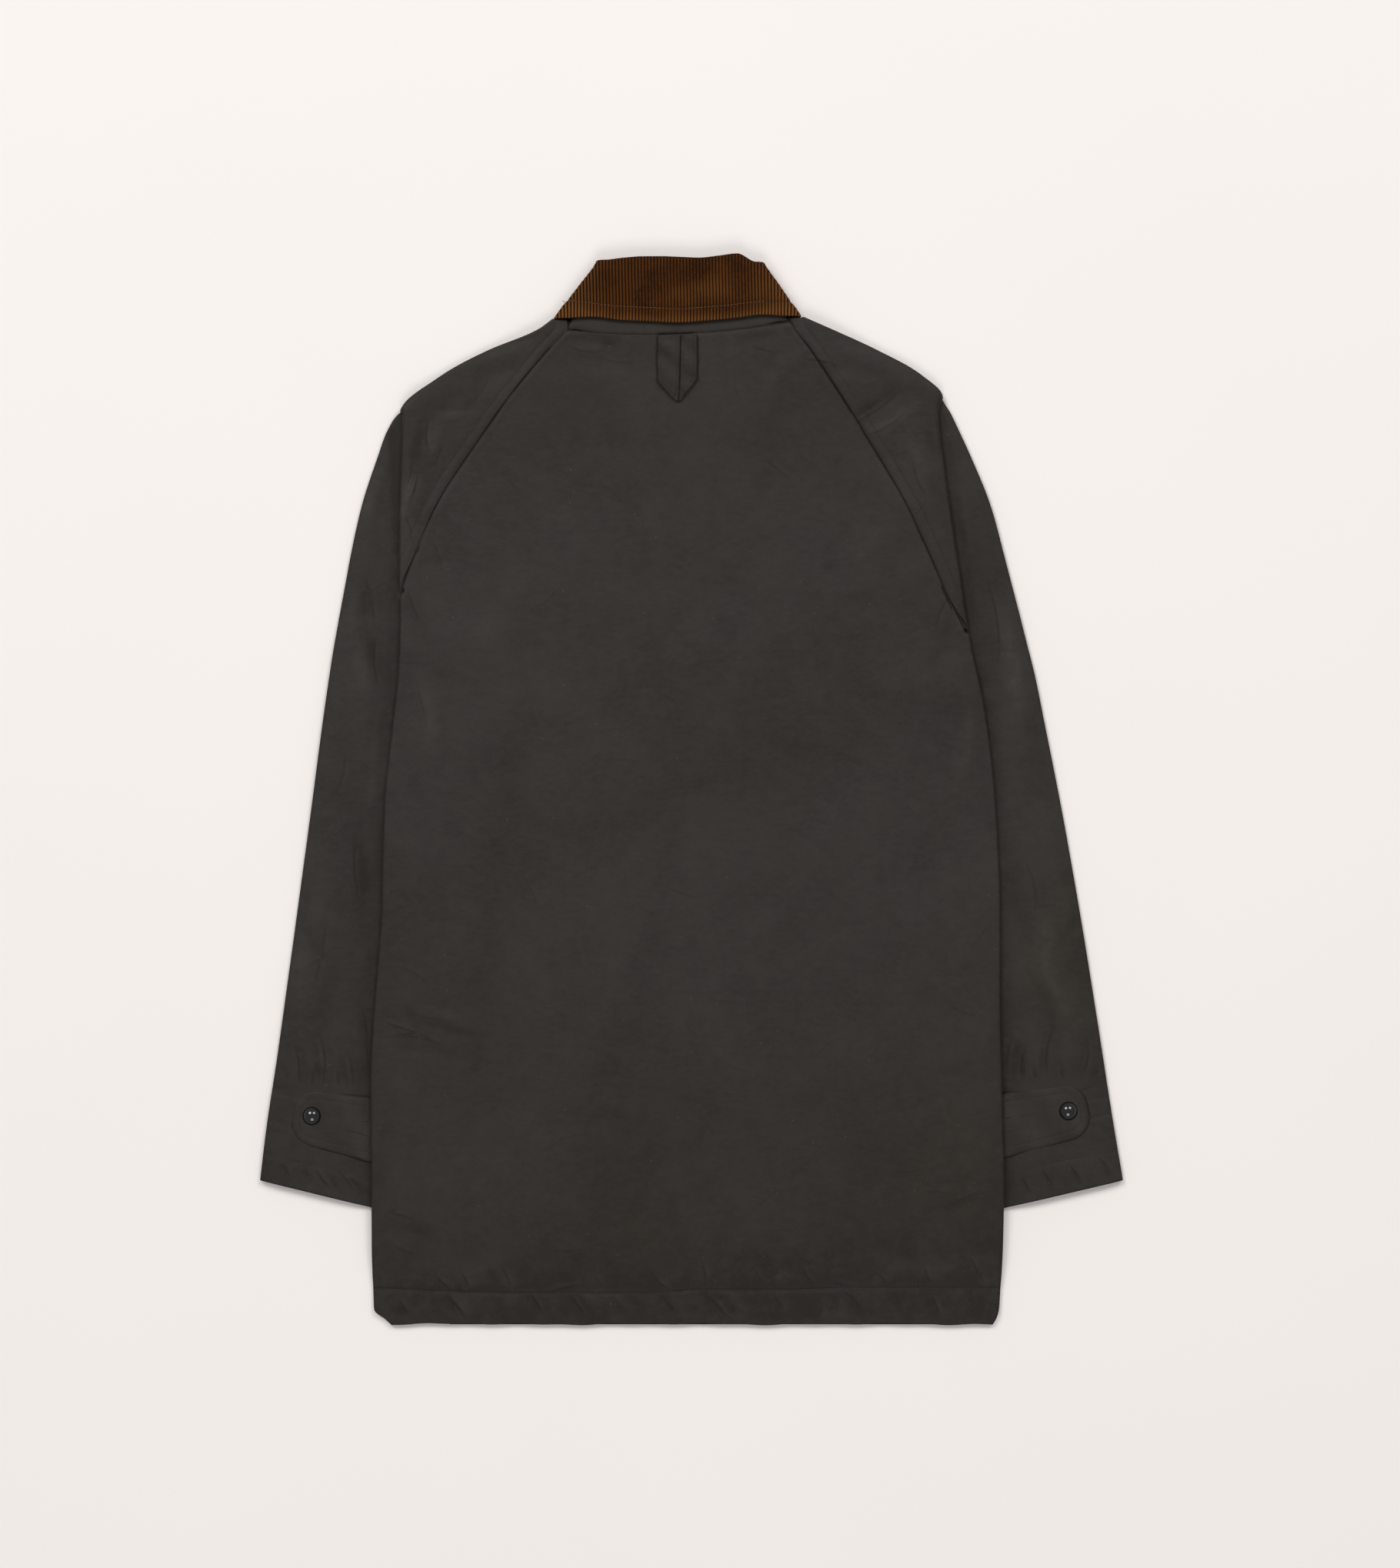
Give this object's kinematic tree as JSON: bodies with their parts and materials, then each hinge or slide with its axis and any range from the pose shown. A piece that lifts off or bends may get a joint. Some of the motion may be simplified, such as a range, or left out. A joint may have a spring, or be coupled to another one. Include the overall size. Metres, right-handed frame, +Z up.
{
  "type": "waxed cotton jacket laid flat",
  "caption": "Waxed cotton raglan jacket with a corduroy collar, locker loop and cuff tabs with snaps, laid flat with its back up.",
  "frame": {"origin": "on the table under the front, at the middle of the jacket's length, on the line through the middle of the hem", "axes": "+X across the jacket towards the sleeve on the right as seen from above, +Y from the hem to the collar, +Z up from the table, out of the jacket's back"},
  "size_m": [0.6964, 0.8638, 0.0149],
  "materials": {
    "waxed_cotton": "dark olive-brown waxed cotton with a faint dry sheen and mottled wax",
    "corduroy": "brown fine-wale corduroy",
    "snap_black": "glossy black dome cap"
  },
  "bodies": {
    "root": {"back": "waxed_cotton", "front_left": "waxed_cotton", "front_right": "waxed_cotton", "sleeve_left": "waxed_cotton", "sleeve_right": "waxed_cotton", "collar": "corduroy", "under_collar": "waxed_cotton", "loop_strap_left": "waxed_cotton", "loop_strap_right": "waxed_cotton", "cuff_tab_left": "waxed_cotton", "cuff_tab_right": "waxed_cotton", "snap_left": "snap_black", "snap_right": "snap_black"}
  },
  "joints": []
}
